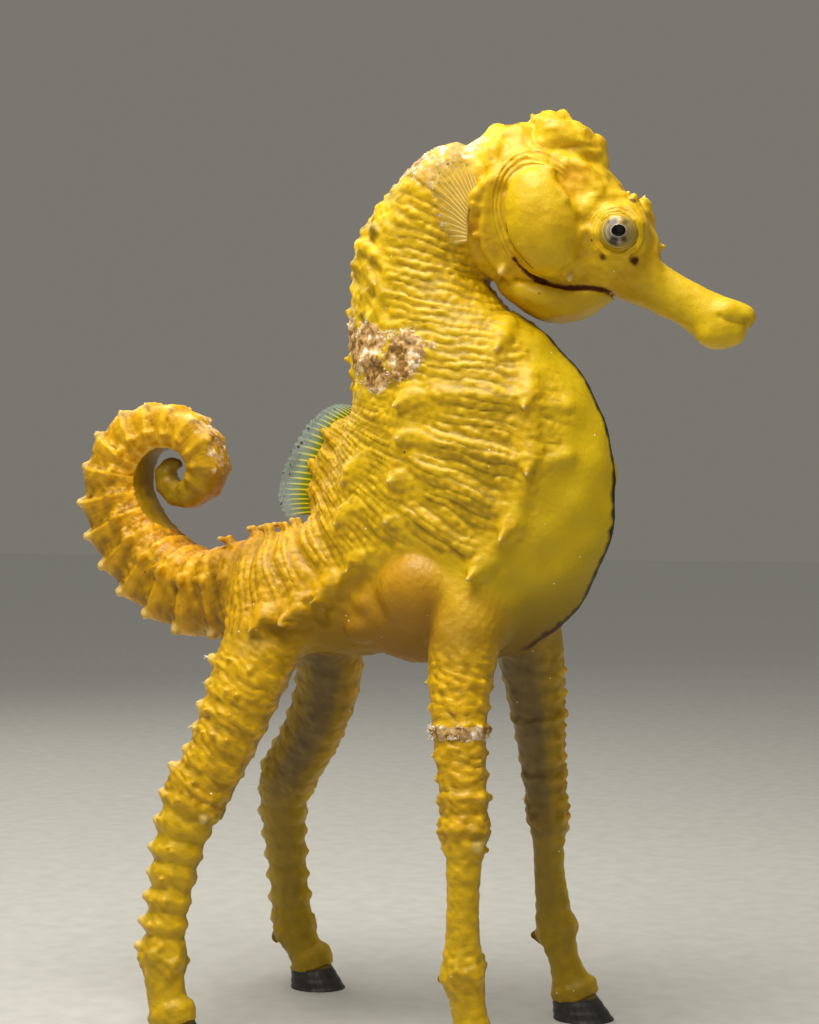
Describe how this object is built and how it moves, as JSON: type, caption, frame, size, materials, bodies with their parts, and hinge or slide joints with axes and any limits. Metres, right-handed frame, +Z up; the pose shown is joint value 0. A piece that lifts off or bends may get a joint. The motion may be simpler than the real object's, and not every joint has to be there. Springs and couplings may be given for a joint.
{
  "type": "four-legged seahorse model",
  "caption": "Life-size still model of a yellow four-legged seahorse standing on dark hooves, with a ringed tail coiled up behind and its snouted head turned a little to its left.",
  "frame": {"origin": "middle of the bounding box on the floor plane under the hooves", "axes": "+X towards the animal's head, +Y towards its left side, +Z up"},
  "size_m": [0.114, 0.051, 0.1463],
  "materials": {
    "skin": "damp yellow skin with fine ridges",
    "eye": "clear wet cornea over a banded iris",
    "hoof": "dark worn horn",
    "fin": "thin rayed membrane"
  },
  "bodies": {
    "root": {"brood_pouch": "skin", "cannon_front_left": "skin", "cannon_front_right": "skin", "cannon_hind_left": "skin", "cannon_hind_right": "skin", "coronet": "skin", "dorsal_fin": "fin", "eye_left": "eye", "eye_right": "eye", "gill_cover_left": "skin", "gill_cover_right": "skin", "head": "skin", "hoof_front_left": "hoof", "hoof_front_right": "hoof", "hoof_hind_left": "hoof", "hoof_hind_right": "hoof", "neck": "skin", "pastern_front_left": "skin", "pastern_front_right": "skin", "pastern_hind_left": "skin", "pastern_hind_right": "skin", "pectoral_fin_left": "fin", "pectoral_fin_right": "fin", "snout": "skin", "tail_1": "skin", "tail_2": "skin", "tail_3": "skin", "tail_4": "skin", "tail_5": "skin", "tail_6": "skin", "throat": "skin", "trunk": "skin", "upper_front_left": "skin", "upper_front_right": "skin", "upper_hind_left": "skin", "upper_hind_right": "skin"}
  },
  "joints": []
}
